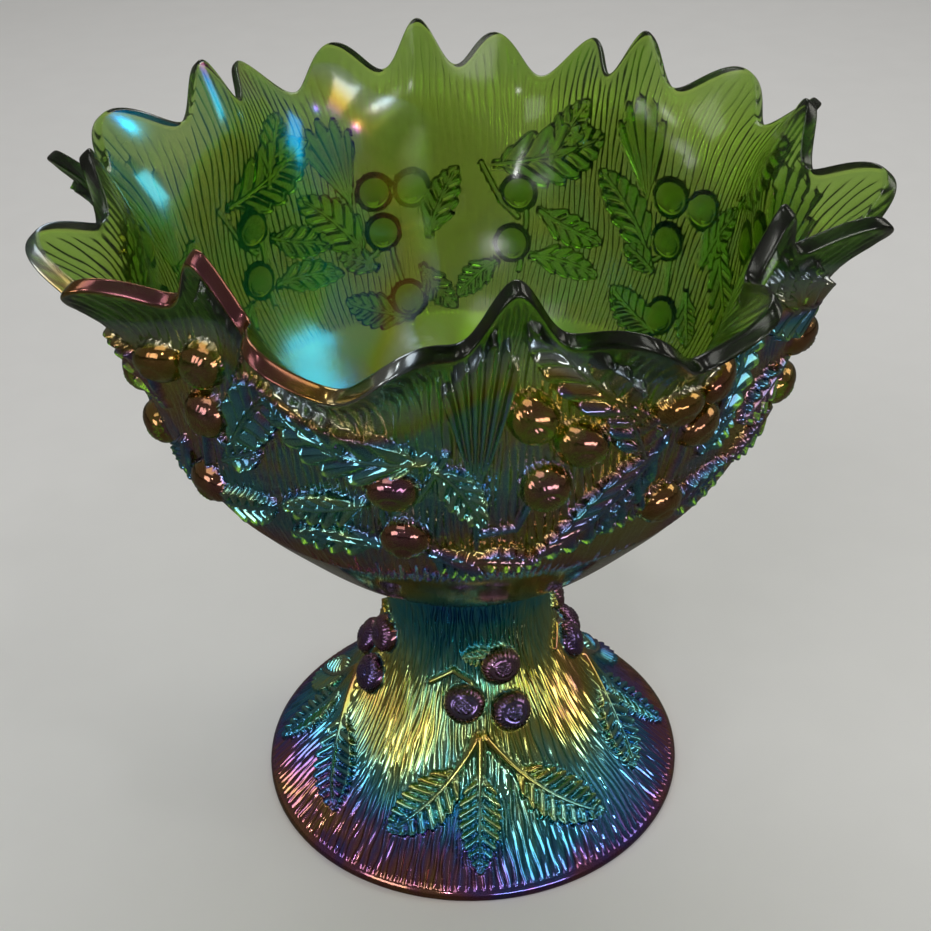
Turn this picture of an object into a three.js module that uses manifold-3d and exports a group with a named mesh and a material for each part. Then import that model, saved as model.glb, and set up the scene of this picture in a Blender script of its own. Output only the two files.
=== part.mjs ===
// A pressed carnival glass bowl with a ruffled, saw-toothed rim, standing on a separate hollow pedestal base.
// Units are millimetres, +Z is up, and the origin is the centre of the foot on the surface that it stands on.
// The bowl's foot ring drops into a round socket in the top of the pedestal, so the bowl lifts straight off.
import * as THREE from "three";
import { mergeVertices } from "three/addons/utils/BufferGeometryUtils.js";
import Module from "manifold-3d";

const wasm = await Module();
wasm.setup();

// Overall sizes
const RIM_RADIUS = 136;
const RIM_HEIGHT = 264;
const FOOT_RADIUS = 84.8;
const SEAM_HEIGHT = 102;
const SEAM_GAP = 0.3;

// Rim: the teeth are cut into the wall's length, and every third one stands inward and high
const RUFFLES = 8;
const TEETH = 24;
const TOOTH_DEPTH = 16.5;
const RUFFLE_RADIAL = 13.5;
const RUFFLE_VERTICAL = 8.5;
const RUFFLE_TWIST = 2;
const RUFFLE_START = 0.58;
const RUFFLE_GROWTH = 1.5;
const RIM_THICKNESS = 5.4;
const RIM_ROUNDING = 1.8;
const EDGE_START = 0.6;

// Bowl wall and foot ring
const BOWL_SEGMENTS = 144;
const WALL_THICKNESS = 6;
const SHOULDER_THICKNESS = 8;
const COLLAR_RADIUS = 34.5;
const COLLAR_HEIGHT = 3;
const RING_OUTER_RADIUS = 24;
const RING_INNER_RADIUS = 19;
const RING_HEIGHT = 8;
const BOWL_FLOOR_Z = 112.5;
const BOWL_UNDERSIDE_Z = 104.5;
const FLOOR_RADIUS = 22;
const FLOOR_DISH = 0.6;
const INNER_WALL_START = 0.09;
const RING_TAPER = 0.4;

// Pedestal base
const BASE_SEGMENTS = 60;
const BASE_WALL = 5.5;
const SOCKET_RADIUS = RING_OUTER_RADIUS + 0.8;
const SOCKET_DEPTH = 8.5;
const SOCKET_FLOOR = 5.5;
const FOOT_LAND = 5;
const FOOT_EDGE_HEIGHT = 2;
const LIP_INSET = 0.6;
const HOLLOW_START = 0.05;
const HOLLOW_END = 0.8;
const HOLLOW_TOP_INSET = 3;

// Acorns: round bosses that stand on the outer wall
const ACORN_RADIUS = 8;
const ACORN_HEIGHT = 6.6;
const ACORN_SINK = 4.6;
const ACORN_SIDES = 7;
const ACORN_BANDS = 5;

// Outer wall lines as radius and height. The bowl's runs from the collar to the tooth tips.
const BOWL_LINE = [
  [COLLAR_RADIUS + 1.5, SEAM_HEIGHT + SEAM_GAP + COLLAR_HEIGHT + 1],
  [58, 119.5], [81, 143], [97, 163], [108, 187], [113, 214], [119.5, 242],
  [RIM_RADIUS, RIM_HEIGHT],
];
const BASE_LINE = [
  [FOOT_RADIUS - 1, 4], [69.7, 17.5], [58, 28.5], [48.5, 41.5], [40.5, 55], [34.5, 68], [31.6, 82],
  [33.2, SEAM_HEIGHT - 1],
];

// Acorn groups: each acorn is an angle in degrees and a length along the wall from the group's centre
const GROUPS = {
  pair: [[0, 10], [1, -11]],
  trio: [[-1, 10], [6, 2], [1, -13]],
  cluster: [[-4, 16], [4, 16], [3, -1], [-1, -30]],
};
const BOWL_GROUPS = [
  ["cluster", -144, 139], ["pair", -108, 120], ["trio", -86, 140], ["cluster", -63, 139],
  ["pair", -27, 130], ["trio", 3, 136], ["cluster", 31, 122], ["pair", 70, 118],
  ["cluster", 97, 115], ["pair", 131, 120], ["trio", 163, 138], ["pair", -169, 120],
];
const BASE_TRIO = [[-9, 71], [16, 66], [14, 85]];
const BASE_GROUP_ANGLES = [-92, -2, 88, 178];

const line = (points) => new THREE.SplineCurve(points.map(([r, z]) => new THREE.Vector2(r, z)));
const bowlLine = line(BOWL_LINE);
const bowlLength = bowlLine.getLength();
const baseLine = line(BASE_LINE);
const baseLength = baseLine.getLength();
const clamp01 = (value) => THREE.MathUtils.clamp(value, 0, 1);
const linspace = (count) => Array.from({ length: count + 1 }, (_, i) => i / count);

// A point at a length along a wall line, moved inward from the outer face by a depth
function meridian(curve, length, along, depth) {
  const u = clamp01(along / length);
  const point = curve.getPointAt(u);
  const tangent = curve.getTangentAt(u);
  return new THREE.Vector2(point.x - tangent.y * depth, point.y + tangent.x * depth);
}

// Length along the wall at which the toothed edge lies, at an angle
const edgeLength = (angle) => bowlLength - (TOOTH_DEPTH * (1 - Math.cos(TEETH * angle))) / 2;

// The ruffled wall: every point moves out and down, or in and up, more strongly towards the rim
function bowlPoint(angle, along, depth) {
  const flat = meridian(bowlLine, bowlLength, along, depth);
  const grow = clamp01((along / bowlLength - RUFFLE_START) / (1 - RUFFLE_START)) ** RUFFLE_GROWTH;
  const wave = -Math.cos(RUFFLES * angle) * grow;
  const turn = angle - (Math.sin(RUFFLES * angle) * grow * RUFFLE_TWIST) / RIM_RADIUS;
  const radius = flat.x + RUFFLE_RADIAL * wave;
  const height = flat.y - RUFFLE_VERTICAL * wave;
  return new THREE.Vector3(radius * Math.cos(turn), radius * Math.sin(turn), height);
}

const basePoint = (angle, along, depth) => {
  const flat = meridian(baseLine, baseLength, along, depth);
  return new THREE.Vector3(flat.x * Math.cos(angle), flat.x * Math.sin(angle), flat.y);
};

const fixed = (radius, height) => ({ radius, height });

// Rows of the bowl's closed section: either a fixed radius and height, or a row that follows the toothed wall.
// Shares run from 0 at the collar to 1 at the edge.
function bowlRows() {
  const wall = (share, depth, lift) => ({ share, depth, lift });
  const inner = linspace(6).map((u) => {
    const share = THREE.MathUtils.lerp(INNER_WALL_START, 1, u);
    const thick = THREE.MathUtils.lerp(SHOULDER_THICKNESS, WALL_THICKNESS, clamp01(share * 2.5));
    return wall(share, THREE.MathUtils.lerp(thick, RIM_THICKNESS, clamp01(share * 2 - 1)), 0);
  });
  const rim = [120, 60].map((degrees) => {
    const turn = THREE.MathUtils.degToRad(degrees);
    return wall(1, (RIM_THICKNESS / 2) * (1 - Math.cos(turn)), RIM_ROUNDING * Math.sin(turn));
  });
  const outer = linspace(9).map((u) => wall(1 - u, 0, 0));
  const ringFoot = SEAM_HEIGHT + SEAM_GAP - RING_HEIGHT;
  return [
    fixed(0, BOWL_FLOOR_Z), fixed(FLOOR_RADIUS, BOWL_FLOOR_Z + FLOOR_DISH), ...inner, ...rim, ...outer,
    fixed(COLLAR_RADIUS, SEAM_HEIGHT + SEAM_GAP + COLLAR_HEIGHT), fixed(COLLAR_RADIUS, SEAM_HEIGHT + SEAM_GAP),
    fixed(RING_OUTER_RADIUS, SEAM_HEIGHT + SEAM_GAP), fixed(RING_OUTER_RADIUS - RING_TAPER, ringFoot),
    fixed(RING_INNER_RADIUS + RING_TAPER, ringFoot), fixed(RING_INNER_RADIUS, BOWL_UNDERSIDE_Z),
    fixed(0, BOWL_UNDERSIDE_Z),
  ];
}

// A lathe around Z, whose vertices are then moved to their rows' own places. The sections above are listed
// clockwise, from the top of the axis, and a lathe needs them the other way round to face outward.
function lathe(section, segments, place) {
  const rows = section.toReversed();
  const profile = rows.map((row, i) => new THREE.Vector2(row.radius ?? 1, row.height ?? i));
  const geometry = new THREE.LatheGeometry(profile, segments);
  const position = geometry.getAttribute("position");
  for (let i = 0; i <= segments; i += 1) {
    const angle = (2 * Math.PI * (i % segments)) / segments;
    rows.forEach((row, j) => {
      const point = place(row, angle);
      position.setXYZ(i * rows.length + j, point.x, point.y, point.z);
    });
  }
  return geometry;
}

const placeFixedRow = (row, angle) => (
  new THREE.Vector3(row.radius * Math.cos(angle), row.radius * Math.sin(angle), row.height)
);

function placeBowlRow(row, angle) {
  if (row.share === undefined) {
    return placeFixedRow(row, angle);
  }
  const cut = bowlLength - edgeLength(angle) + RIM_ROUNDING;
  const along = row.share * bowlLength - cut * clamp01((row.share - EDGE_START) / (1 - EDGE_START)) + row.lift;
  return bowlPoint(angle, along, row.depth);
}

// The base's section: foot land, hollow underside, socket floor, socket, lip and flared outer wall
function baseRows() {
  const socketFloorZ = SEAM_HEIGHT - SOCKET_DEPTH;
  const hollowTopZ = socketFloorZ - SOCKET_FLOOR;
  const hollow = linspace(5).map((u) => {
    const share = THREE.MathUtils.lerp(HOLLOW_START, HOLLOW_END, u);
    const point = meridian(baseLine, baseLength, baseLength * share, BASE_WALL);
    return fixed(point.x, point.y);
  });
  const outer = linspace(9).map((u) => {
    const point = meridian(baseLine, baseLength, baseLength * (1 - u), 0);
    return fixed(point.x, point.y);
  });
  return [
    fixed(0, socketFloorZ), fixed(SOCKET_RADIUS, socketFloorZ), fixed(SOCKET_RADIUS, SEAM_HEIGHT),
    fixed(BASE_LINE.at(-1)[0] - LIP_INSET, SEAM_HEIGHT), ...outer, fixed(FOOT_RADIUS, FOOT_EDGE_HEIGHT),
    fixed(FOOT_RADIUS, 0),
    fixed(FOOT_RADIUS - FOOT_LAND, 0), ...hollow, fixed(hollow.at(-1).radius - HOLLOW_TOP_INSET, hollowTopZ),
    fixed(0, hollowTopZ),
  ];
}

// three.js geometry to a solid, and back again
function toSolid(geometry) {
  const bare = geometry.clone();
  bare.deleteAttribute("normal");
  bare.deleteAttribute("uv");
  const merged = mergeVertices(bare, 1e-3);
  const corners = Array.from(merged.index.array);
  const triangles = [];
  for (let i = 0; i < corners.length; i += 3) {
    const [a, b, c] = corners.slice(i, i + 3);
    if (a !== b && b !== c && c !== a) {
      triangles.push(a, b, c);
    }
  }
  return new wasm.Manifold(new wasm.Mesh({
    numProp: 3,
    vertProperties: new Float32Array(merged.getAttribute("position").array),
    triVerts: new Uint32Array(triangles),
  }));
}

function toGeometry(solid) {
  const mesh = solid.getMesh();
  const geometry = new THREE.BufferGeometry();
  geometry.setAttribute("position", new THREE.BufferAttribute(mesh.vertProperties, 3));
  geometry.setIndex(new THREE.BufferAttribute(mesh.triVerts, 1));
  geometry.computeVertexNormals();
  return geometry;
}

// One acorn boss: a flattened ball, half sunk in the wall, facing straight out of it
function acorn(pointAt, angle, along) {
  const centre = pointAt(angle, along, 0);
  const across = pointAt(angle + 0.01, along, 0).sub(pointAt(angle - 0.01, along, 0)).normalize();
  const upward = pointAt(angle, along + 0.5, 0).sub(pointAt(angle, along - 0.5, 0)).normalize();
  const outward = new THREE.Vector3().crossVectors(across, upward).normalize();
  const ball = new THREE.SphereGeometry(1, ACORN_SIDES, ACORN_BANDS);
  const halfHeight = (ACORN_HEIGHT + ACORN_SINK) / 2;
  ball.scale(ACORN_RADIUS, ACORN_RADIUS, halfHeight);
  const upright = new THREE.Vector3().crossVectors(outward, across);
  ball.applyMatrix4(new THREE.Matrix4().makeBasis(across, upright, outward));
  centre.addScaledVector(outward, ACORN_HEIGHT - halfHeight);
  ball.translate(centre.x, centre.y, centre.z);
  return toSolid(ball);
}

const radians = THREE.MathUtils.degToRad;

function bowlSolid() {
  let solid = toSolid(lathe(bowlRows(), BOWL_SEGMENTS, placeBowlRow));
  for (const [kind, groupAngle, groupLength] of BOWL_GROUPS) {
    for (const [turn, rise] of GROUPS[kind]) {
      solid = solid.add(acorn(bowlPoint, radians(groupAngle + turn), groupLength + rise));
    }
  }
  return solid;
}

function baseSolid() {
  let solid = toSolid(lathe(baseRows(), BASE_SEGMENTS, placeFixedRow));
  for (const groupAngle of BASE_GROUP_ANGLES) {
    for (const [turn, rise] of BASE_TRIO) {
      solid = solid.add(acorn(basePoint, radians(groupAngle + turn), rise));
    }
  }
  return solid;
}

function piece(name, solid, material) {
  const mesh = new THREE.Mesh(toGeometry(solid), material);
  mesh.name = name;
  return mesh;
}

const bowlGlass = new THREE.MeshStandardMaterial({ color: 0x3f6b22, roughness: 0.12, metalness: 0.25 });
const baseGlass = new THREE.MeshStandardMaterial({ color: 0x3a4f4a, roughness: 0.18, metalness: 0.35 });

const group = new THREE.Group();
group.add(piece("pedestal_base", baseSolid(), baseGlass));
group.add(piece("bowl", bowlSolid(), bowlGlass));

export default group;
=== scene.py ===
"""Looks for a carnival glass bowl on its pedestal base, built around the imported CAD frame.

Lengths are in millimetres until a mesh is made, and angles are measured about +Z from +X.
"""
import math

import bpy
import numpy as np
from mathutils import Matrix, Vector


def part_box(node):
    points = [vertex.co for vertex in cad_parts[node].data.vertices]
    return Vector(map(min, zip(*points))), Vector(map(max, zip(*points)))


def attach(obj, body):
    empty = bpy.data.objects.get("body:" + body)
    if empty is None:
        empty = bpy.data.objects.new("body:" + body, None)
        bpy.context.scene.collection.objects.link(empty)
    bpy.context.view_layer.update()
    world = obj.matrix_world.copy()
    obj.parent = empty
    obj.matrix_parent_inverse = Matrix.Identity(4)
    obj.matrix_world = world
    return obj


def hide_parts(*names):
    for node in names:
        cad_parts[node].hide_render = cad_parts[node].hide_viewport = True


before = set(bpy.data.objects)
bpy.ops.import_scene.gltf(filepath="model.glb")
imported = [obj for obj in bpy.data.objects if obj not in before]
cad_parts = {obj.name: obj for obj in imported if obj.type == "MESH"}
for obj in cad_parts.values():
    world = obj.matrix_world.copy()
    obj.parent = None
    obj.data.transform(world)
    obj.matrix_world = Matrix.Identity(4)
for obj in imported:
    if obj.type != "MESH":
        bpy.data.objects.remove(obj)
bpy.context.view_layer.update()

MM = 0.001
base_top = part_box("pedestal_base")[1]

# Overall sizes. The seam between the two pieces comes from the frame, the others repeat the CAD's.
SEAM_HEIGHT = base_top[2] / MM
SEAM_GAP = 0.3
FOOT_RADIUS = 84.8
RIM_RADIUS = 136.0
RIM_HEIGHT = 264.0

# The ruffled rim and its teeth. The inset keeps the rounded edge inside the CAD's box.
RUFFLES = 8
TEETH = 24
TOOTH_DEPTH = 16.5
RUFFLE_RADIAL = 13.5
RUFFLE_VERTICAL = 8.5
RUFFLE_TWIST = 2.0
RUFFLE_START = 0.58
RUFFLE_GROWTH = 1.5
EDGE_START = 0.6
RIM_THICKNESS = 5.4
RIM_ROUNDING = 1.8
RIM_SQUARENESS = 3.6
RIM_INSET = 1.4

# Walls
WALL_THICKNESS = 6.0
SHOULDER_THICKNESS = 8.0
COLLAR_RADIUS = 34.5
COLLAR_HEIGHT = 3.0
RING_OUTER_RADIUS = 24.0
RING_INNER_RADIUS = 19.0
RING_HEIGHT = 8.0
BOWL_FLOOR_Z = 112.5
BOWL_UNDERSIDE_Z = 104.5
BASE_WALL = 5.5
SOCKET_RADIUS = RING_OUTER_RADIUS + 0.8
SOCKET_DEPTH = 8.5
SOCKET_FLOOR = 5.5
FOOT_LAND = 5.0

# Relief: how far each kind of motif stands out, and where it starts
ACORN_RADIUS = 8.0
ACORN_HEIGHT = 6.6
BOWL_LEAF_HEIGHT = 3.2
BASE_LEAF_HEIGHT = 2.2
LEAF_FLUTE = 2.2
FAN_HEIGHT = 2.8
FAN_FLUTE = 1.9
TWIG_HEIGHT = 1.9
TWIG_WIDTH = 1.3
LOBE_MEAN = 0.62
BARK_DEPTH = 0.36
BARK_CLEARANCE = 1.2
PLAIN_BAND_END = 76.0
RIDGE_HEIGHT = 3.0

# Mesh fineness: columns round the axis, and rows along each wall
BOWL_COLUMNS = 1680
BASE_COLUMNS = 1440
BOWL_RELIEF_ROWS = 320
BOWL_PLAIN_ROWS = 40
BOWL_INNER_ROWS = 64
BASE_ROWS = 340
HOLLOW_ROWS = 40

# The walls' outer lines, from the foot up, as radius and height
BOWL_LINE = [
    (COLLAR_RADIUS + 1.5, SEAM_HEIGHT + SEAM_GAP + COLLAR_HEIGHT + 1),
    (58, 119.5), (81, 143), (97, 163), (108, 187), (113, 214), (119.5, 242),
    (RIM_RADIUS, RIM_HEIGHT),
]
BASE_LINE = [
    (FOOT_RADIUS - 1, 4), (69.7, 17.5), (58, 28.5), (48.5, 41.5), (40.5, 55), (34.5, 68), (31.6, 82),
    (33.2, SEAM_HEIGHT - 1),
]


def smooth(value):
    """0 below 0, 1 above 1, and a smooth step between."""
    t = np.clip(value, 0.0, 1.0)
    return t * t * (3.0 - 2.0 * t)


def mix(a, b, share):
    """A value that goes from a to b as the share goes from 0 to 1."""
    return a + (b - a) * share


class WallLine:
    """A wall's outer line, a smooth curve through its points: its radius and height at a length along it."""

    def __init__(self, points):
        points = np.array(points, float)
        knots = np.vstack([points[:1], points, points[-1:]])
        t = np.linspace(0, 1, 200, endpoint=False)[:, None]
        pieces = []
        for p0, p1, p2, p3 in zip(knots, knots[1:], knots[2:], knots[3:]):
            v0, v1 = (p2 - p0) / 2, (p3 - p1) / 2
            cubic = 2 * p1 - 2 * p2 + v0 + v1
            square = 3 * p2 - 3 * p1 - 2 * v0 - v1
            pieces.append(cubic * t**3 + square * t**2 + v0 * t + p1)
        self.points = np.vstack(pieces + [points[-1:]])
        steps = np.diff(self.points, axis=0)
        self.marks = np.concatenate([[0], np.cumsum(np.hypot(steps[:, 0], steps[:, 1]))])
        self.length = self.marks[-1]
        slope = np.gradient(self.points, self.marks, axis=0)
        self.slope = slope / np.hypot(slope[:, 0], slope[:, 1])[:, None]

    def at(self, along, depth=0.0):
        """Radius and height at a length along the wall, moved inward by a depth."""
        along = np.clip(along, 0, self.length)
        radius, height = (np.interp(along, self.marks, self.points[:, k]) for k in (0, 1))
        run, rise = (np.interp(along, self.marks, self.slope[:, k]) for k in (0, 1))
        return radius - rise * depth, height + run * depth


bowl_line = WallLine(BOWL_LINE)
base_line = WallLine(BASE_LINE)


def around(radius, height, angle):
    """Points at a radius and height, at each angle round the axis."""
    return np.stack([radius * np.cos(angle), radius * np.sin(angle), height + 0 * angle], axis=-1)


def edge_length(angle):
    """Length along the bowl's wall at which the toothed edge lies."""
    return bowl_line.length - TOOTH_DEPTH * (1 - np.cos(TEETH * angle)) / 2


def bowl_point(angle, along, depth):
    """Points of the ruffled wall, which swings out and down, then in and up, more towards the rim."""
    radius, height = bowl_line.at(along, depth)
    grow = np.clip((along / bowl_line.length - RUFFLE_START) / (1 - RUFFLE_START), 0, 1) ** RUFFLE_GROWTH
    wave = -np.cos(RUFFLES * angle) * grow
    turn = angle - np.sin(RUFFLES * angle) * grow * RUFFLE_TWIST / RIM_RADIUS
    return around(radius + RUFFLE_RADIAL * wave, height - RUFFLE_VERTICAL * wave, turn)


# ---------------------------------------------------------------- relief
# Each motif gives its reach, and a shape: its height at x and y millimetres from its foot or middle.

def leaf(tip, width, lobes, high, bend=0.0, stalk=0.1, slant=1.25):
    """A feathered leaf from the origin to its tip: a midrib, flutes that sweep forward, and a lobed edge."""
    length = math.hypot(*tip)
    ax, ay = tip[0] / length, tip[1] / length

    def shape(x, y):
        u = (x * ax + y * ay) / length
        side = y * ax - x * ay - bend * length * 4 * u * (1 - u)
        across = np.abs(side)
        blade = np.clip((u - stalk) / (1 - stalk), 0, 1)
        phase = np.pi * lobes * (blade - slant * (across / length) ** 0.8 * 0.6)
        lobe = np.abs(np.sin(phase))
        outline = width * np.sin(np.pi * blade**0.85) ** 0.65 * (0.80 + 0.20 * lobe)
        inside = outline - across
        cup = 0.50 + 0.50 * np.clip(across / np.maximum(outline, 0.1), 0, 1)
        flutes = LEAF_FLUTE * (lobe - LOBE_MEAN) * smooth(inside / 2.2) * smooth(across / 2.0)
        lip = 0.40 * np.exp(-(((inside - 1.1) / 0.6) ** 2))
        body = (high * cup + flutes + lip) * smooth(inside / 1.2)
        rib_width = 0.9 + 0.9 * (1 - u)
        midrib = (high * 0.62 + 0.9) * np.exp(-((side / rib_width) ** 2)) * smooth((u + 0.02) * 12)
        return np.maximum(body, midrib * smooth((1 - u) * 10))

    return length + width, shape


def fan(tip, spread, lobes):
    """A broad fan leaf: ribs spread from the origin to a scalloped edge."""
    length = math.hypot(*tip)
    ax, ay = tip[0] / length, tip[1] / length

    def shape(x, y):
        forward, side = x * ax + y * ay, y * ax - x * ay
        reach = np.hypot(x, y)
        turn = np.arctan2(side, forward) / spread
        phase = np.pi * lobes * (turn + 1) / 2
        lobe = np.abs(np.sin(phase))
        outline = length * (1 - 0.3 * turn**2) * (0.84 + 0.16 * lobe)
        inside = np.minimum(outline - reach, (1 - np.abs(turn)) * spread * reach)
        body = FAN_HEIGHT * (0.45 + 0.55 * reach / length)
        flutes = FAN_FLUTE * (lobe - LOBE_MEAN) * smooth(reach / 16)
        lip = 0.5 * np.exp(-(((inside - 1.0) / 0.6) ** 2))
        return (body + flutes + lip) * smooth(inside / 1.1)

    return length * 1.1, shape


def acorn(drop, lined):
    """A round acorn: a dome with edge lines, and a stippled tip in a ring, below its middle by a drop."""

    def shape(x, y):
        share = np.hypot(x, y) / ACORN_RADIUS
        dome = ACORN_HEIGHT * np.clip(1 - share**2, 0, 1) ** 0.45
        tip_reach = np.hypot(x, y + drop)
        turn = np.arctan2(y + drop, x)
        grooves = lined * np.cos(26 * turn) * smooth((tip_reach - 5.0) / 1.0) * smooth((1 - share) * 5)
        ring = -0.3 * np.exp(-(((tip_reach - 3.4) / 0.6) ** 2))
        dots = np.cos(2 * np.pi * x / 1.7) * np.cos(2 * np.pi * (y + drop) / 1.7)
        knobs = 0.30 * dots * smooth((3.0 - tip_reach) / 0.8)
        return np.where(share < 1, dome + grooves + ring + knobs, 0)

    return ACORN_RADIUS * 1.1, shape


def twig(ends):
    """A branch that runs from the origin through the given points."""
    path = [(0.0, 0.0)] + list(ends)
    reach = max(math.hypot(*point) for point in path) + 4

    def shape(x, y):
        nearest = np.full(x.shape, 99.0)
        for (x0, y0), (x1, y1) in zip(path, path[1:]):
            dx, dy = x1 - x0, y1 - y0
            t = np.clip(((x - x0) * dx + (y - y0) * dy) / (dx * dx + dy * dy), 0, 1)
            nearest = np.minimum(nearest, np.hypot(x - x0 - t * dx, y - y0 - t * dy))
        return TWIG_HEIGHT * np.sqrt(np.clip(1 - (nearest / TWIG_WIDTH) ** 2, 0, 1))

    return reach, shape


class Relief:
    """Heights above a wall's plain outer face, on a grid of angles and lengths along it."""

    def __init__(self, angle, along, radius):
        self.angle, self.along = np.broadcast_arrays(angle, along)
        self.radius = np.broadcast_to(radius, self.angle.shape)
        self.height = np.zeros(self.angle.shape)
        self.acorn = np.zeros(self.angle.shape)

    def stamp(self, angle, along, motif, is_acorn=0.0):
        """Raises a motif at an angle in degrees and a length along the wall, where it is the highest."""
        reach, shape = motif
        turn = (self.angle - math.radians(angle) + np.pi) % (2 * np.pi) - np.pi
        x = turn * self.radius
        y = self.along - along
        near = (np.abs(x) < reach) & (np.abs(y) < reach)
        raised = shape(x[near], y[near])
        old = self.height[near]
        self.height[near] = np.maximum(old, raised)
        self.acorn[near] = np.where((raised > 0.3) & (raised >= old), is_acorn, self.acorn[near])


def place(line, angle, along, tip_angle, tip_along):
    """A leaf's tip, in millimetres from its foot, with the wall laid flat."""
    radius = line.at(tip_along)[0]
    return math.radians(tip_angle - angle) * float(radius), tip_along - along


# Acorns in each kind of group, as degrees and millimetres from its middle
GROUPS = {
    "pair": [(0, 10), (1, -11)],
    "trio": [(-1, 10), (6, 2), (1, -13)],
    "cluster": [(-4, 16), (4, 16), (3, -1), (-1, -30)],
}
# Where the groups stand on the bowl: kind, angle in degrees, length along the wall
BOWL_GROUPS = [
    ("cluster", -144, 139), ("pair", -108, 120), ("trio", -86, 140), ("cluster", -63, 139),
    ("pair", -27, 130), ("trio", 3, 136), ("cluster", 31, 122), ("pair", 70, 118),
    ("cluster", 97, 115), ("pair", 131, 120), ("trio", 163, 138), ("pair", -169, 120),
]
# Leaves round each kind of group: foot and tip from its middle, half width, lobes and bend
LEAVES = {
    "pair": [
        ((6.6, 21), (-18.8, 37), 13, 6, 0.05), ((-6, 22), (-14, 50), 9, 5, -0.05),
        ((-4, 4), (-20, -6), 7.5, 5, 0.05), ((-2.5, -16), (-20.6, -20), 7, 5, -0.05),
        ((4, -18), (14, -34), 6.5, 5, 0.05),
    ],
    "trio": [
        ((15, 9), (-2.5, 42), 12, 6, -0.05), ((19.7, 2), (-1.2, -46), 9.4, 8, 0.05),
        ((-16, -1), (-8.5, -26), 7, 5, 0.06), ((-12, -42), (2, -48), 6, 5, 0.05),
    ],
    "cluster": [
        ((7, -12), (21, 20), 10, 6, 0.06), ((-2, -38), (15, -26), 8, 6, -0.05),
        ((-7, -6), (-14, 24), 8, 5, -0.04), ((5, -16), (14, -8), 6, 4, 0.04),
        ((-5, -16), (-13, -36), 6.5, 5, 0.05),
    ],
}
# Fan leaves: foot and tip from the group's middle, half spread in radians, lobes
FANS = {
    "trio": [((-9.7, -17), (-8.5, 42), 0.30, 6)],
    "pair": [],
    "cluster": [((9, 10), (13, 50), 0.38, 5)],
}
# Twigs: foot from the group's middle, then the points they run through, in millimetres from the foot
TWIGS = {
    "pair": [((0, 0), [(7, 6), (16, 22)]), ((-1, -22), [(-2, 20), (0, 40)])],
    "trio": [((-9.7, -36), [(0, 22)]), ((-9.7, -30), [(12, 2), (18, 16)])],
    "cluster": [((0, 0), [(10, -10), (16, -12)]), ((-1, -30), [(4, 18), (5, 30)])],
}


def bark(angle, along, lines, eye, wander, depth):
    """Wood grain: fine lines that run up the wall, part and meet round long eyes, and wander a little."""
    drift = 3.0 * np.sin(3 * angle + along / 31) + 2.2 * np.sin(7 * angle - along / 17 + 1.3)
    swirl = 1.2 * np.sin(13 * angle + along / 11.0 + 0.7) + 0.9 * np.sin(along / 7.3 + 2 * np.sin(5 * angle))
    parting = 1.1 * np.sin(2 * np.pi * along / eye + 1.5 * np.sin(9 * angle)) * np.cos(lines * angle / 3)
    return depth * np.sin(lines * angle + wander * (drift + swirl) + parting)


BOWL_ACORN = acorn(2.6, 0.05)
BOWL_BARK = {"lines": 272, "eye": 26.0, "wander": 1.0, "depth": BARK_DEPTH}


def bowl_relief(angle, along):
    """The belt of acorns, leaves and twigs, and the grain above the plain band."""
    radius, _ = bowl_line.at(along)
    relief = Relief(angle, along, radius)
    for kind, group_angle, group_along in BOWL_GROUPS:
        for turn, rise in GROUPS[kind]:
            relief.stamp(group_angle + turn, group_along + rise, BOWL_ACORN, 1.0)
        for (a0, s0), (a1, s1), width, lobes, bend in LEAVES[kind]:
            foot = group_angle + a0, group_along + s0
            tip = place(bowl_line, *foot, group_angle + a1, group_along + s1)
            relief.stamp(*foot, leaf(tip, width, lobes, BOWL_LEAF_HEIGHT, bend))
        for (a0, s0), (a1, s1), spread, lobes in FANS[kind]:
            foot = group_angle + a0, group_along + s0
            tip = place(bowl_line, *foot, group_angle + a1, group_along + s1)
            relief.stamp(*foot, fan(tip, spread, lobes))
        for (a0, s0), ends in TWIGS[kind]:
            relief.stamp(group_angle + a0, group_along + s0, twig(ends))
    lines = bark(relief.angle, relief.along, **BOWL_BARK)
    ground = lines * smooth((relief.along - PLAIN_BAND_END) / 5)
    bare = 1 - smooth(relief.height / BARK_CLEARANCE)
    relief.height = relief.height + ground * bare
    return relief


# The base repeats one group four times. Its lengths are from the foot, its angles from the group's own.
BASE_TRIO = [(-9, 71), (16, 66), (14, 85)]
BASE_GROUP_ANGLES = [-92, -2, 88, 178]
BASE_LEAVES = [
    ((-1, 60), (-33, 17), 9.5, 8, 0.06), ((-1, 60), (-4, 6), 9, 9, 0.0), ((-1, 60), (38, 14), 9.5, 9, -0.06),
    ((20, 92), (-12, 90), 5, 6, 0.05),
]
BASE_TWIGS = [((-30, 78), [(8, 6), (15, 2), (20, -6)])]
BASE_ACORN = acorn(0.0, 0.22)
FOOT_BARK = {"lines": 168, "eye": 19.0, "wander": 0.8, "depth": BARK_DEPTH * 1.3}
MIDDLE_BARK = {"lines": 120, "eye": 22.0, "wander": 0.9, "depth": BARK_DEPTH * 1.2}
NECK_BARK = {"lines": 88, "eye": 18.0, "wander": 0.7, "depth": BARK_DEPTH * 1.2}


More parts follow.
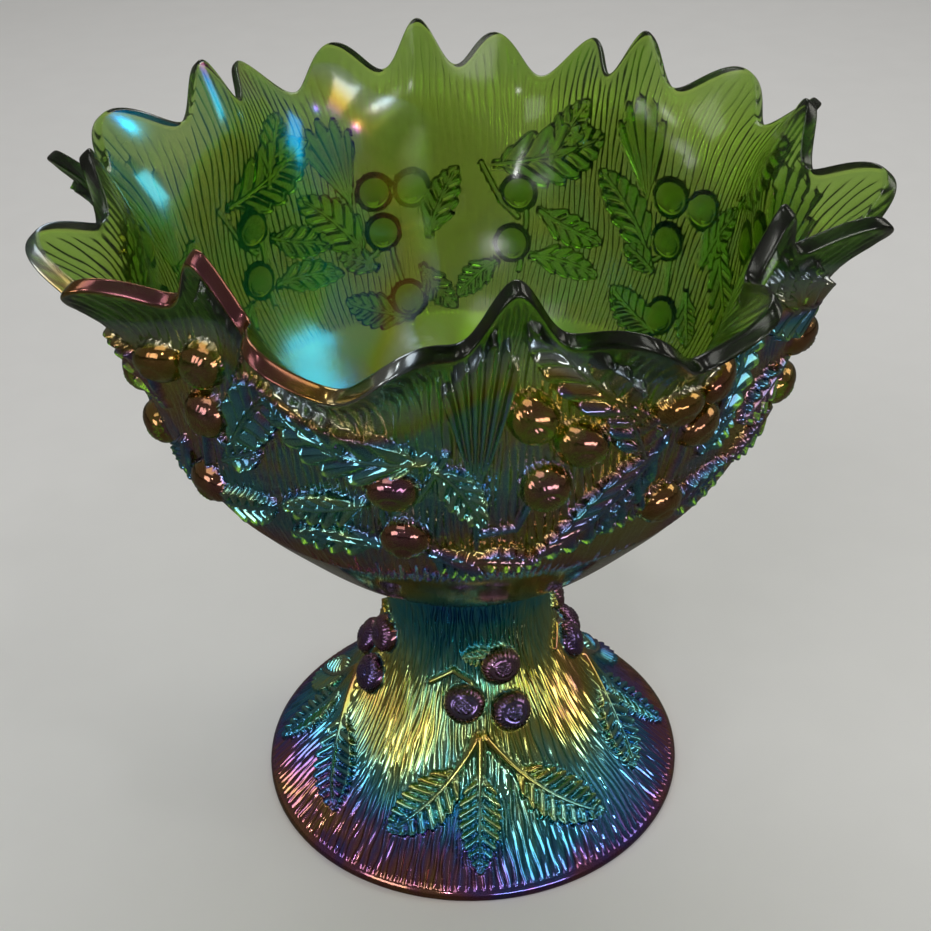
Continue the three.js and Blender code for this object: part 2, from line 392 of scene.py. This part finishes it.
def base_relief(angle, along):
    """Acorns, leaves and twigs round the base, and grain with fewer lines where the wall is narrower."""
    radius, _ = base_line.at(along)
    relief = Relief(angle, along, radius)
    for group_angle in BASE_GROUP_ANGLES:
        for turn, rise in BASE_TRIO:
            relief.stamp(group_angle + turn, rise, BASE_ACORN, 1.0)
        for (a0, s0), (a1, s1), width, lobes, bend in BASE_LEAVES:
            foot = group_angle + a0, s0
            tip = place(base_line, *foot, group_angle + a1, s1)
            relief.stamp(*foot, leaf(tip, width, lobes, BASE_LEAF_HEIGHT, bend, stalk=0.3))
        for (a0, s0), ends in BASE_TWIGS:
            relief.stamp(group_angle + a0, s0, twig(ends))
    near_foot = bark(relief.angle, relief.along, **FOOT_BARK)
    middle = bark(relief.angle, relief.along, **MIDDLE_BARK)
    neck = bark(relief.angle, relief.along, **NECK_BARK)
    low_share = smooth((radius - 54) / 8)
    neck_share = smooth((38 - radius) / 5)
    ground = near_foot * low_share + (middle * (1 - neck_share) + neck * neck_share) * (1 - low_share)
    bare = 1 - smooth(relief.height / BARK_CLEARANCE)
    fade = smooth((base_line.length - relief.along) / 3) * smooth(relief.along / 2.5)
    relief.height = (relief.height + ground * bare) * fade
    return relief


# ---------------------------------------------------------------- meshes

class Skin:
    """Rings of points that become one closed mesh, with a pole at each end.

    Each point carries what the materials need: inside (1 on the inner face, 0.5 on the rounded edge,
    0 outside), ridge (the relief's height), along (millimetres along the wall) and acorn (1 on an acorn).
    """

    LABELS = ("inside", "ridge", "along", "acorn")

    def __init__(self, columns):
        self.angle = np.linspace(0, 2 * np.pi, columns, endpoint=False)
        self.rings, self.marks = [], []

    def add(self, points, inside, ridge, along, acorn=0.0):
        """Adds a ring of points, one for each angle."""
        ones = np.ones(self.angle.size)
        self.rings.append(points)
        self.marks.append(np.stack([inside * ones, ridge * ones, along * ones, acorn * ones], axis=-1))

    def fixed(self, radius, height, inside=0.0, along=0.0):
        """Adds a plain round ring."""
        self.add(around(radius, height, self.angle), inside, 0.0, along)

    def build(self, name, start_height, end_height):
        """Joins the rings, and closes both ends on the axis at the given heights."""
        columns = self.angle.size
        rings = np.array(self.rings)
        count = len(rings)
        points = np.vstack([rings.reshape(-1, 3), [(0, 0, start_height), (0, 0, end_height)]]) * MM
        left = np.arange(columns)
        right = np.roll(left, -1)
        low = np.arange(count - 1)[:, None] * columns
        quads = np.stack([low + left, low + columns + left, low + columns + right, low + right], axis=-1)
        first, last = count * columns, count * columns + 1
        top = (count - 1) * columns
        caps = np.concatenate([np.stack([0 * left + first, left, right], axis=-1),
                               np.stack([0 * left + last, top + right, top + left], axis=-1)])
        corners = np.concatenate([quads.ravel(), caps.ravel()]).astype(np.int32)
        quad_starts = np.arange(quads.size // 4) * 4
        cap_starts = quads.size + np.arange(len(caps)) * 3
        starts = np.concatenate([quad_starts, cap_starts]).astype(np.int32)
        mesh = bpy.data.meshes.new(name)
        mesh.vertices.add(len(points))
        mesh.vertices.foreach_set("co", points.astype(np.float32).ravel())
        mesh.loops.add(len(corners))
        mesh.loops.foreach_set("vertex_index", corners)
        mesh.polygons.add(len(starts))
        mesh.polygons.foreach_set("loop_start", starts)
        mesh.update(calc_edges=True)
        marks = np.vstack([np.array(self.marks).reshape(-1, 4), self.marks[0][:1], self.marks[-1][:1]])
        for k, label in enumerate(self.LABELS):
            values = np.ascontiguousarray(marks[:, k], dtype=np.float32)
            mesh.attributes.new(label, "FLOAT", "POINT").data.foreach_set("value", values)
        mesh.shade_smooth()
        mesh.update()
        thing = bpy.data.objects.new(name, mesh)
        bpy.context.scene.collection.objects.link(thing)
        return thing


def make_bowl():
    """The bowl's closed skin: inner wall up, over the toothed edge, outer wall down, collar, foot ring."""
    skin = Skin(BOWL_COLUMNS)
    angle = skin.angle
    edge = edge_length(angle) - RIM_ROUNDING - RIM_INSET
    length = bowl_line.length

    def reach(share):
        """Length along the wall at a share of its height. The rows near the top bend to follow the teeth."""
        return share * length - (length - edge) * np.clip((share - EDGE_START) / (1 - EDGE_START), 0, 1)

    for radius in (4, 9, 14, 19, 23):
        skin.fixed(radius, BOWL_FLOOR_Z + 0.6 * (radius / 22) ** 2, 1.0, radius)
    for share in np.linspace(0.09, 1, BOWL_INNER_ROWS):
        along = reach(share)
        thick = mix(SHOULDER_THICKNESS, WALL_THICKNESS, min(share * 2.5, 1))
        thick = mix(thick, RIM_THICKNESS, max(share * 2 - 1, 0))
        wavy = 0.12 * np.sin(5 * angle + along / 13) + 0.1 * np.sin(9 * angle - along / 8 + 2)
        depth = thick + wavy * smooth((1 - share) * 9)
        skin.add(bowl_point(angle, along, depth), 1.0, 0.0, along)
    power = 2 / RIM_SQUARENESS
    for degrees in range(170, 0, -10):
        turn = math.radians(degrees)
        depth = RIM_THICKNESS / 2 * (1 - math.copysign(abs(math.cos(turn)) ** power, math.cos(turn)))
        along = edge + RIM_ROUNDING * math.sin(turn) ** power
        skin.add(bowl_point(angle, along, depth), 0.5, 0.0, along)
    start = (PLAIN_BAND_END - 6) / length
    relief_shares = np.linspace(1, start, BOWL_RELIEF_ROWS)
    plain_shares = np.linspace(start, 0, BOWL_PLAIN_ROWS)[1:]
    shares = np.concatenate([relief_shares, plain_shares])
    along = np.array([reach(share) for share in shares])
    relief = bowl_relief(angle[None, :], along)
    height = relief.height * smooth((edge[None, :] - along) / 5)
    for row_along, row_height, row_acorn in zip(along, height, relief.acorn):
        points = bowl_point(angle, row_along, -row_height)
        skin.add(points, 0.0, row_height / RIDGE_HEIGHT, row_along, row_acorn)
    collar_low = SEAM_HEIGHT + SEAM_GAP
    collar_top = SEAM_HEIGHT + SEAM_GAP + COLLAR_HEIGHT
    ring_low = collar_low - RING_HEIGHT
    for radius, z in (
        (COLLAR_RADIUS + 0.3, collar_top), (COLLAR_RADIUS, collar_top - 0.6),
        (COLLAR_RADIUS, collar_low + 0.5), (COLLAR_RADIUS - 0.5, collar_low),
        (RING_OUTER_RADIUS + 0.4, collar_low),
        (RING_OUTER_RADIUS, collar_low - 0.4), (RING_OUTER_RADIUS - 0.4, ring_low + 0.6),
        (RING_OUTER_RADIUS - 1.0, ring_low), (RING_INNER_RADIUS + 1.0, ring_low),
        (RING_INNER_RADIUS + 0.4, ring_low + 0.6), (RING_INNER_RADIUS, BOWL_UNDERSIDE_Z - 0.5),
        (RING_INNER_RADIUS - 0.5, BOWL_UNDERSIDE_Z), (9, BOWL_UNDERSIDE_Z),
    ):
        skin.fixed(radius, z, 0.0, 0.0)
    return skin.build("bowl_glass", BOWL_FLOOR_Z, BOWL_UNDERSIDE_Z)


def make_base():
    """The base's closed skin: socket, outer wall down to the foot, then up inside the hollow."""
    skin = Skin(BASE_COLUMNS)
    angle = skin.angle
    socket_floor = SEAM_HEIGHT - SOCKET_DEPTH
    hollow_top = socket_floor - SOCKET_FLOOR
    lip = BASE_LINE[-1][0] - 0.6
    for radius, z in (
        (8, socket_floor), (SOCKET_RADIUS - 0.5, socket_floor), (SOCKET_RADIUS, socket_floor + 0.5),
        (SOCKET_RADIUS, SEAM_HEIGHT - 0.4), (SOCKET_RADIUS + 0.4, SEAM_HEIGHT), (lip - 0.3, SEAM_HEIGHT),
    ):
        skin.fixed(radius, z, 0.0, base_line.length)
    along = np.linspace(base_line.length, 0, BASE_ROWS)[:, None] * np.ones(angle.size)
    relief = base_relief(angle[None, :], along)
    for row_along, row_height, row_acorn in zip(along, relief.height, relief.acorn):
        radius, z = base_line.at(row_along, -row_height)
        skin.add(around(radius, z, angle), 0.0, row_height / RIDGE_HEIGHT, row_along, row_acorn)
    for radius, z in (
        (FOOT_RADIUS - 0.2, 3.2), (FOOT_RADIUS, 2.2), (FOOT_RADIUS, 0.6), (FOOT_RADIUS - 0.5, 0.0),
        (FOOT_RADIUS - FOOT_LAND + 0.4, 0.0),
    ):
        skin.fixed(radius, z, 0.0, 0.0)
    for share in np.linspace(0.05, 0.8, HOLLOW_ROWS):
        radius, z = base_line.at(base_line.length * share, BASE_WALL)
        skin.fixed(float(radius), float(z), 1.0, base_line.length * share)
    hollow_radius = float(radius)
    skin.fixed(hollow_radius - 2, hollow_top - 0.8, 1.0, base_line.length)
    skin.fixed(hollow_radius - 4, hollow_top, 1.0, base_line.length)
    return skin.build("base_glass", socket_floor, hollow_top)


# ---------------------------------------------------------------- materials

class Nodes:
    """A short way to lay out a material's nodes."""

    def __init__(self, name):
        self.material = bpy.data.materials.new(name)
        self.material.use_nodes = True
        self.tree = self.material.node_tree
        self.tree.nodes.clear()

    def add(self, kind, inputs=None, **settings):
        node = self.tree.nodes.new(kind)
        for key, value in settings.items():
            setattr(node, key, value)
        for key, value in (inputs or {}).items():
            self.set(node, key, value)
        return node

    def set(self, node, key, value):
        """Gives an input a value, or links another node's output to it."""
        if isinstance(value, bpy.types.NodeSocket):
            self.tree.links.new(value, node.inputs[key])
        else:
            node.inputs[key].default_value = value

    def math(self, operation, *values, clamp=False):
        node = self.add("ShaderNodeMath", operation=operation, use_clamp=clamp)
        for k, value in enumerate(values):
            self.set(node, k, value)
        return node.outputs[0]

    def attribute(self, name):
        return self.add("ShaderNodeAttribute", attribute_name=name).outputs["Fac"]

    def noise(self, scale, detail=2.0, distortion=0.0, vector=None):
        inputs = {"Scale": scale, "Detail": detail, "Distortion": distortion}
        if vector is not None:
            inputs["Vector"] = vector
        return self.add("ShaderNodeTexNoise", inputs).outputs["Fac"]

    def remap(self, value, low, high, to_low, to_high):
        node = self.add("ShaderNodeMapRange", {"Value": value, "From Min": low, "From Max": high,
                                               "To Min": to_low, "To Max": to_high})
        return node.outputs[0]

    def patch(self, place_in, drift, patch):
        """Film thickness: thick round a centre and thin away from it, with an uneven border."""
        centre, reach, thickness = patch
        away = self.add("ShaderNodeVectorMath", operation="DISTANCE")
        self.set(away, 0, place_in)
        self.set(away, 1, centre)
        uneven = self.math("MULTIPLY", drift, 1.2)
        share = self.math("ADD", self.math("DIVIDE", away.outputs["Value"], reach), uneven)
        fall = self.math("POWER", self.remap(share, 0.4, 1.0, 0.0, 1.0), 3.0)
        return self.remap(fall, 0.0, 1.0, thickness, THIN_FILM)

    def mix_value(self, share, a, b):
        node = self.add("ShaderNodeMix", data_type="FLOAT")
        self.set(node, 0, share)
        self.set(node, 2, a)
        self.set(node, 3, b)
        return node.outputs[0]

    def mix_color(self, share, a, b):
        node = self.add("ShaderNodeMix", data_type="RGBA")
        self.set(node, 0, share)
        self.set(node, 6, a)
        self.set(node, 7, b)
        return node.outputs[2]

    def ramp(self, value, stops):
        node = self.add("ShaderNodeValToRGB", {"Fac": value})
        ramp = node.color_ramp
        while len(ramp.elements) < len(stops):
            ramp.elements.new(0.5)
        for element, (position, color) in zip(ramp.elements, stops):
            element.position = position
            element.color = color
        return node.outputs["Color"]


# The colours that a film mirrors, from FILM_LOW to FILM_HIGH nanometres thick
LUSTRE = [
    (0.02, (0.42, 0.29, 0.07, 1)), (0.12, (0.55, 0.10, 0.25, 1)), (0.22, (0.20, 0.08, 0.72, 1)),
    (0.31, (0.04, 0.36, 0.85, 1)), (0.41, (0.10, 0.60, 0.66, 1)), (0.50, (0.28, 0.62, 0.26, 1)),
    (0.60, (0.64, 0.60, 0.10, 1)), (0.69, (0.78, 0.38, 0.10, 1)), (0.78, (0.74, 0.14, 0.38, 1)),
    (0.88, (0.44, 0.08, 0.66, 1)), (1.00, (0.06, 0.22, 0.80, 1)),
]
FILM_LOW, FILM_HIGH = 85.0, 245.0
GLASS_IOR = 1.52
FILM_IOR = 2.4

# Film thickness in nanometres on the inner face and edge, and on the uncoated part of the outside
THIN_FILM = 5.0
BARE_FILM = 12.0

# The two places where the inner face and the edge are coated: centre and reach in metres, thickness
INNER_PATCH = ((-0.082, 0.070, 0.205), 0.088, 150.0)
EDGE_PATCH = ((-0.090, -0.088, 0.262), 0.075, 104.0)

# Film as a share of the way from FILM_LOW to FILM_HIGH: on acorns, and added on ridges
ACORN_FILM = 0.02
RIDGE_FILM = 0.18
ACORN_COVER = 0.8

# How much less an acorn mirrors like metal, how wide the coat's end is and how much it wanders
ACORN_CLEARNESS = 0.75
COAT_FADE = 0.10
COAT_WANDER = 0.2

# What the glass lets through at its face: clear where coated or inside, smoky on the bare outside
CLEAR_LIGHT, CLEAR_DEEP = (0.96, 1.0, 0.56, 1), (0.90, 0.97, 0.46, 1)
SMOKY_LIGHT, SMOKY_DEEP = (0.58, 0.69, 0.56, 1), (0.51, 0.63, 0.48, 1)


def grey(stops):
    """A ramp's stops from plain numbers."""
    return [(place, (tone, tone, tone, 1)) for place, tone in stops]


def glass_film(n, place_in, drift, film_place, coated, inside, outside):
    """Film thickness in nanometres. The rounded edge is where the inside and the outside overlap."""
    on_edge = n.math("MULTIPLY", n.math("MULTIPLY", inside, outside), 4.0)
    inner_patch = n.patch(place_in, drift, INNER_PATCH)
    edge_patch = n.patch(place_in, drift, EDGE_PATCH)
    inner_film = n.mix_value(on_edge, inner_patch, edge_patch)
    outer_film = n.mix_value(coated, BARE_FILM, n.remap(film_place, 0.0, 1.0, FILM_LOW, FILM_HIGH))
    covered = n.math("ADD", inside, on_edge, clamp=True)
    return n.mix_value(covered, outer_film, inner_film)


def glass_roughness(n, place_in, inside, bare_outside):
    """A fire-polished skin that varies a little, duller inside and satin on the bare outside."""
    rough = n.remap(n.noise(70.0, 3.0, 0.2, place_in), 0.3, 0.7, 0.06, 0.14)
    rough = n.math("ADD", rough, n.math("MULTIPLY", inside, 0.07))
    return n.math("ADD", rough, n.math("MULTIPLY", bare_outside, 0.14))


def glass_bump(n, place_in):
    """The faint waves and fine texture of pressed glass."""
    fine = n.noise(420.0, 2.0, 0.0, place_in)
    swell = n.noise(60.0, 2.0, 0.0, place_in)
    height = n.math("ADD", n.math("MULTIPLY", fine, 0.15), swell)
    return n.add("ShaderNodeBump", {"Strength": 0.10, "Distance": 0.0012, "Height": height}).outputs[0]


def carnival_glass(name, length, film_zones, lustre_zones, tint, coat_end, uneven, absorb, density):
    """Green pressed glass under an iridescent metal-salt film, whose thickness drifts over the surface.

    The zones give, from the wall's foot (0) to its top (1), how thick the film is and how strongly it
    mirrors like metal. The tint is how much of the lustre's colour the glass takes, coat_end is the level
    at which the film ends, and uneven says how far its thickness strays from its zone. What the glass
    absorbs in its depth is given by a colour and a density.
    """
    n = Nodes(name)
    place_in = n.add("ShaderNodeTexCoord").outputs["Object"]
    inside = n.attribute("inside")
    ridge = n.attribute("ridge")
    acorn_share = n.attribute("acorn")
    level = n.math("DIVIDE", n.attribute("along"), length, clamp=True)
    outside = n.math("SUBTRACT", 1.0, inside, clamp=True)
    drift = n.math("SUBTRACT", n.noise(10.0, 2.0, 0.4, place_in), 0.5)
    patch = n.math("SUBTRACT", n.noise(42.0, 3.0, 0.8, place_in), 0.5)

    # Where the film's thickness lies between its two ends, and how far up the coat goes
    film_place = n.math("ADD", n.ramp(level, grey(film_zones)), n.math("MULTIPLY", drift, uneven))
    film_place = n.math("ADD", film_place, n.math("MULTIPLY", patch, uneven * 0.6))
    film_place = n.math("ADD", film_place, n.math("MULTIPLY", ridge, RIDGE_FILM), clamp=True)
    film_place = n.mix_value(n.math("MULTIPLY", acorn_share, ACORN_COVER), film_place, ACORN_FILM)
    coat_level = n.math("ADD", level, n.math("MULTIPLY", drift, COAT_WANDER))
    coated = n.remap(coat_level, coat_end, coat_end + COAT_FADE, 1.0, 0.0)
    coated = n.math("MAXIMUM", coated, acorn_share)
    bare_outside = n.math("MULTIPLY", n.math("SUBTRACT", 1.0, coated), outside)

    # The glass's own colour, and the share that mirrors like coloured metal
    grain = n.remap(patch, -0.2, 0.2, 0.0, 1.0)
    clear = n.mix_color(grain, CLEAR_LIGHT, CLEAR_DEEP)
    smoky = n.mix_color(grain, SMOKY_LIGHT, SMOKY_DEEP)
    body = n.mix_color(bare_outside, clear, smoky)
    share = n.math("MULTIPLY", outside, n.ramp(level, grey(lustre_zones)))
    acorn_clear = n.math("SUBTRACT", 1.0, n.math("MULTIPLY", acorn_share, ACORN_CLEARNESS))
    share = n.math("MULTIPLY", share, acorn_clear)
    tinted = n.math("MULTIPLY", share, tint, clamp=True)

    shader = n.add("ShaderNodeBsdfPrincipled", {
        "Base Color": n.mix_color(tinted, body, n.ramp(film_place, LUSTRE)),
        "Roughness": glass_roughness(n, place_in, inside, bare_outside),
        "IOR": GLASS_IOR,
        "Metallic": share,
        "Transmission Weight": 1.0,
        "Normal": glass_bump(n, place_in),
        "Thin Film Thickness": glass_film(n, place_in, drift, film_place, coated, inside, outside),
        "Thin Film IOR": FILM_IOR,
    })
    volume = n.add("ShaderNodeVolumeAbsorption", {"Color": (*absorb, 1), "Density": density})
    output = n.add("ShaderNodeOutputMaterial")
    n.tree.links.new(shader.outputs[0], output.inputs["Surface"])
    n.tree.links.new(volume.outputs[0], output.inputs["Volume"])
    return n.material


# Zones from the wall's foot (0) to its top (1): the film's thickness as a share, and the metal share
BOWL_FILM = [(0.0, 0.24), (0.38, 0.12), (0.50, 0.12), (0.68, 0.14), (0.84, 0.10)]
BOWL_LUSTRE = [(0.0, 0.36), (0.36, 0.26), (0.44, 0.22), (0.76, 0.20), (0.86, 0.03)]
BASE_FILM = [
    (0.0, 0.12), (0.12, 0.20), (0.22, 0.30), (0.32, 0.42),
    (0.50, 0.66), (0.64, 0.62), (0.84, 0.46), (1.0, 0.44),
]
BASE_LUSTRE = [(0.0, 0.30), (0.45, 0.22), (0.9, 0.34)]
WHOLLY_COATED = 2.0


# ---------------------------------------------------------------- stage

# The floor and the backdrop look pale, but mirrored and diffuse rays find a dim floor and a dim room
FLOOR_HALF_WIDTH = 4.0
FLOOR_DARK, FLOOR_LIGHT = (0.86, 0.86, 0.85, 1), (0.90, 0.90, 0.89, 1)
REFLECTED_FLOOR = (0.16, 0.153, 0.14, 1)
BACKDROP = (0.92, 0.92, 0.92, 1)
ROOM = (1.0, 0.97, 0.90, 1)
ROOM_LEVEL = 0.15


def make_floor():
    """A plain pale floor, with a very faint paper grain."""
    mesh = bpy.data.meshes.new("floor")
    far = FLOOR_HALF_WIDTH
    corners = [(-far, -far, 0), (far, -far, 0), (far, far, 0), (-far, far, 0)]
    mesh.from_pydata(corners, [], [(0, 1, 2, 3)])
    floor = bpy.data.objects.new("floor", mesh)
    bpy.context.scene.collection.objects.link(floor)
    n = Nodes("floor_paper")
    grain = n.noise(30.0, 3.0, 0.0, n.add("ShaderNodeTexCoord").outputs["Object"])
    pale = n.mix_color(grain, FLOOR_DARK, FLOOR_LIGHT)
    mirrored = n.add("ShaderNodeLightPath").outputs["Is Reflection Ray"]
    tone = n.mix_color(mirrored, pale, REFLECTED_FLOOR)
    finish = {"Base Color": tone, "Roughness": 0.8, "Specular IOR Level": 0.1}
    shader = n.add("ShaderNodeBsdfPrincipled", finish)
    output = n.add("ShaderNodeOutputMaterial")
    n.tree.links.new(shader.outputs[0], output.inputs["Surface"])
    mesh.materials.append(n.material)


def direction(azimuth, elevation):
    """A unit vector, from angles in degrees."""
    a, e = math.radians(azimuth), math.radians(elevation)
    return Vector((math.cos(e) * math.cos(a), math.cos(e) * math.sin(a), math.sin(e)))


def make_light(name, azimuth, elevation, distance, size, power, color):
    """A soft rectangular light that points at the middle of the object."""
    data = bpy.data.lights.new(name, "AREA")
    data.shape = "RECTANGLE"
    data.size, data.size_y = size
    data.energy = power
    data.color = color
    light = bpy.data.objects.new(name, data)
    aim = Vector(LIGHT_TARGET)
    light.location = aim + distance * direction(azimuth, elevation)
    light.rotation_euler = (aim - light.location).to_track_quat("-Z", "Y").to_euler()
    bpy.context.scene.collection.objects.link(light)


def make_world():
    """A pale backdrop for the camera, and a dim room for the glass to mirror."""
    world = bpy.data.worlds.new("studio")
    world.use_nodes = True
    tree = world.node_tree
    rays = tree.nodes.new("ShaderNodeLightPath")
    room, backdrop = tree.nodes["Background"], tree.nodes.new("ShaderNodeBackground")
    room.inputs["Color"].default_value = ROOM
    room.inputs["Strength"].default_value = ROOM_LEVEL
    backdrop.inputs["Color"].default_value = BACKDROP
    both = tree.nodes.new("ShaderNodeMixShader")
    tree.links.new(rays.outputs["Is Reflection Ray"], both.inputs[0])
    tree.links.new(backdrop.outputs[0], both.inputs[1])
    tree.links.new(room.outputs[0], both.inputs[2])
    tree.links.new(both.outputs[0], tree.nodes["World Output"].inputs["Surface"])
    bpy.context.scene.world = world


# Lights: name, azimuth, elevation, distance in metres, width and height, power in watts, colour
LIGHT_TARGET = (0, 0, 0.17)
WHITE, WARM_WHITE = (1, 1, 1), (1.0, 0.97, 0.92)
LIGHTS = [
    ("key", -128, 50, 1.3, (0.8, 0.5), 2.2, WHITE),
    ("side", -6, 30, 1.3, (0.5, 0.7), 2.4, WARM_WHITE),
    ("back", 80, 55, 1.6, (1.4, 0.8), 10, WHITE),
    ("lamp", -68, 62, 1.4, (0.09, 0.09), 0.7, WHITE),
    ("low_lamp", -112, 20, 1.3, (0.08, 0.08), 0.8, WHITE),
    ("low_left", -140, 10, 1.3, (0.5, 0.4), 2.4, WHITE),
    ("low_right", -72, 0, 1.3, (0.8, 0.2), 3.0, WHITE),
]

# The camera stands in front, looks down at the bowl, and is rolled a little. Its azimuth is in degrees,
# its pitch and roll are in radians, and its reach is its distance from the axis.
CAMERA_AZIMUTH = -97.1
CAMERA_REACH = 0.4787
CAMERA_HEIGHT = 0.450
CAMERA_PITCH = 0.5731
CAMERA_ROLL = -0.0258
CAMERA_LENS = 59.0


def make_camera():
    data = bpy.data.cameras.new("camera")
    data.lens = CAMERA_LENS
    data.sensor_width = 36.0
    data.clip_start = 0.01
    camera = bpy.data.objects.new("camera", data)
    a = math.radians(CAMERA_AZIMUTH)
    outward = Vector((math.cos(a), math.sin(a), 0))
    forward = -outward * math.cos(CAMERA_PITCH) - Vector((0, 0, math.sin(CAMERA_PITCH)))
    right = forward.cross(Vector((0, 0, 1))).normalized()
    up = right.cross(forward)
    rolled_right = math.cos(CAMERA_ROLL) * right + math.sin(CAMERA_ROLL) * up
    rolled_up = math.cos(CAMERA_ROLL) * up - math.sin(CAMERA_ROLL) * right
    turn = Matrix((rolled_right, rolled_up, -forward)).transposed()
    spot = outward * CAMERA_REACH + Vector((0, 0, CAMERA_HEIGHT))
    camera.matrix_world = Matrix.Translation(spot) @ turn.to_4x4()
    bpy.context.scene.collection.objects.link(camera)
    bpy.context.scene.camera = camera


make_camera()
make_floor()
bpy.context.scene.view_settings.view_transform = "Standard"
make_world()
for light in LIGHTS:
    make_light(*light)

bowl = make_bowl()
bowl.data.materials.append(carnival_glass(
    "bowl_carnival", bowl_line.length, BOWL_FILM, BOWL_LUSTRE, tint=2.2, coat_end=0.80, uneven=0.9,
    absorb=(0.51, 0.69, 0.03), density=392))
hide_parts("bowl")
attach(bowl, "bowl")

base = make_base()
base.data.materials.append(carnival_glass(
    "base_carnival", base_line.length, BASE_FILM, BASE_LUSTRE, tint=2.8, coat_end=WHOLLY_COATED, uneven=0.6,
    absorb=(0.26, 0.50, 0.10), density=420))
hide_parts("pedestal_base")
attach(base, "base")
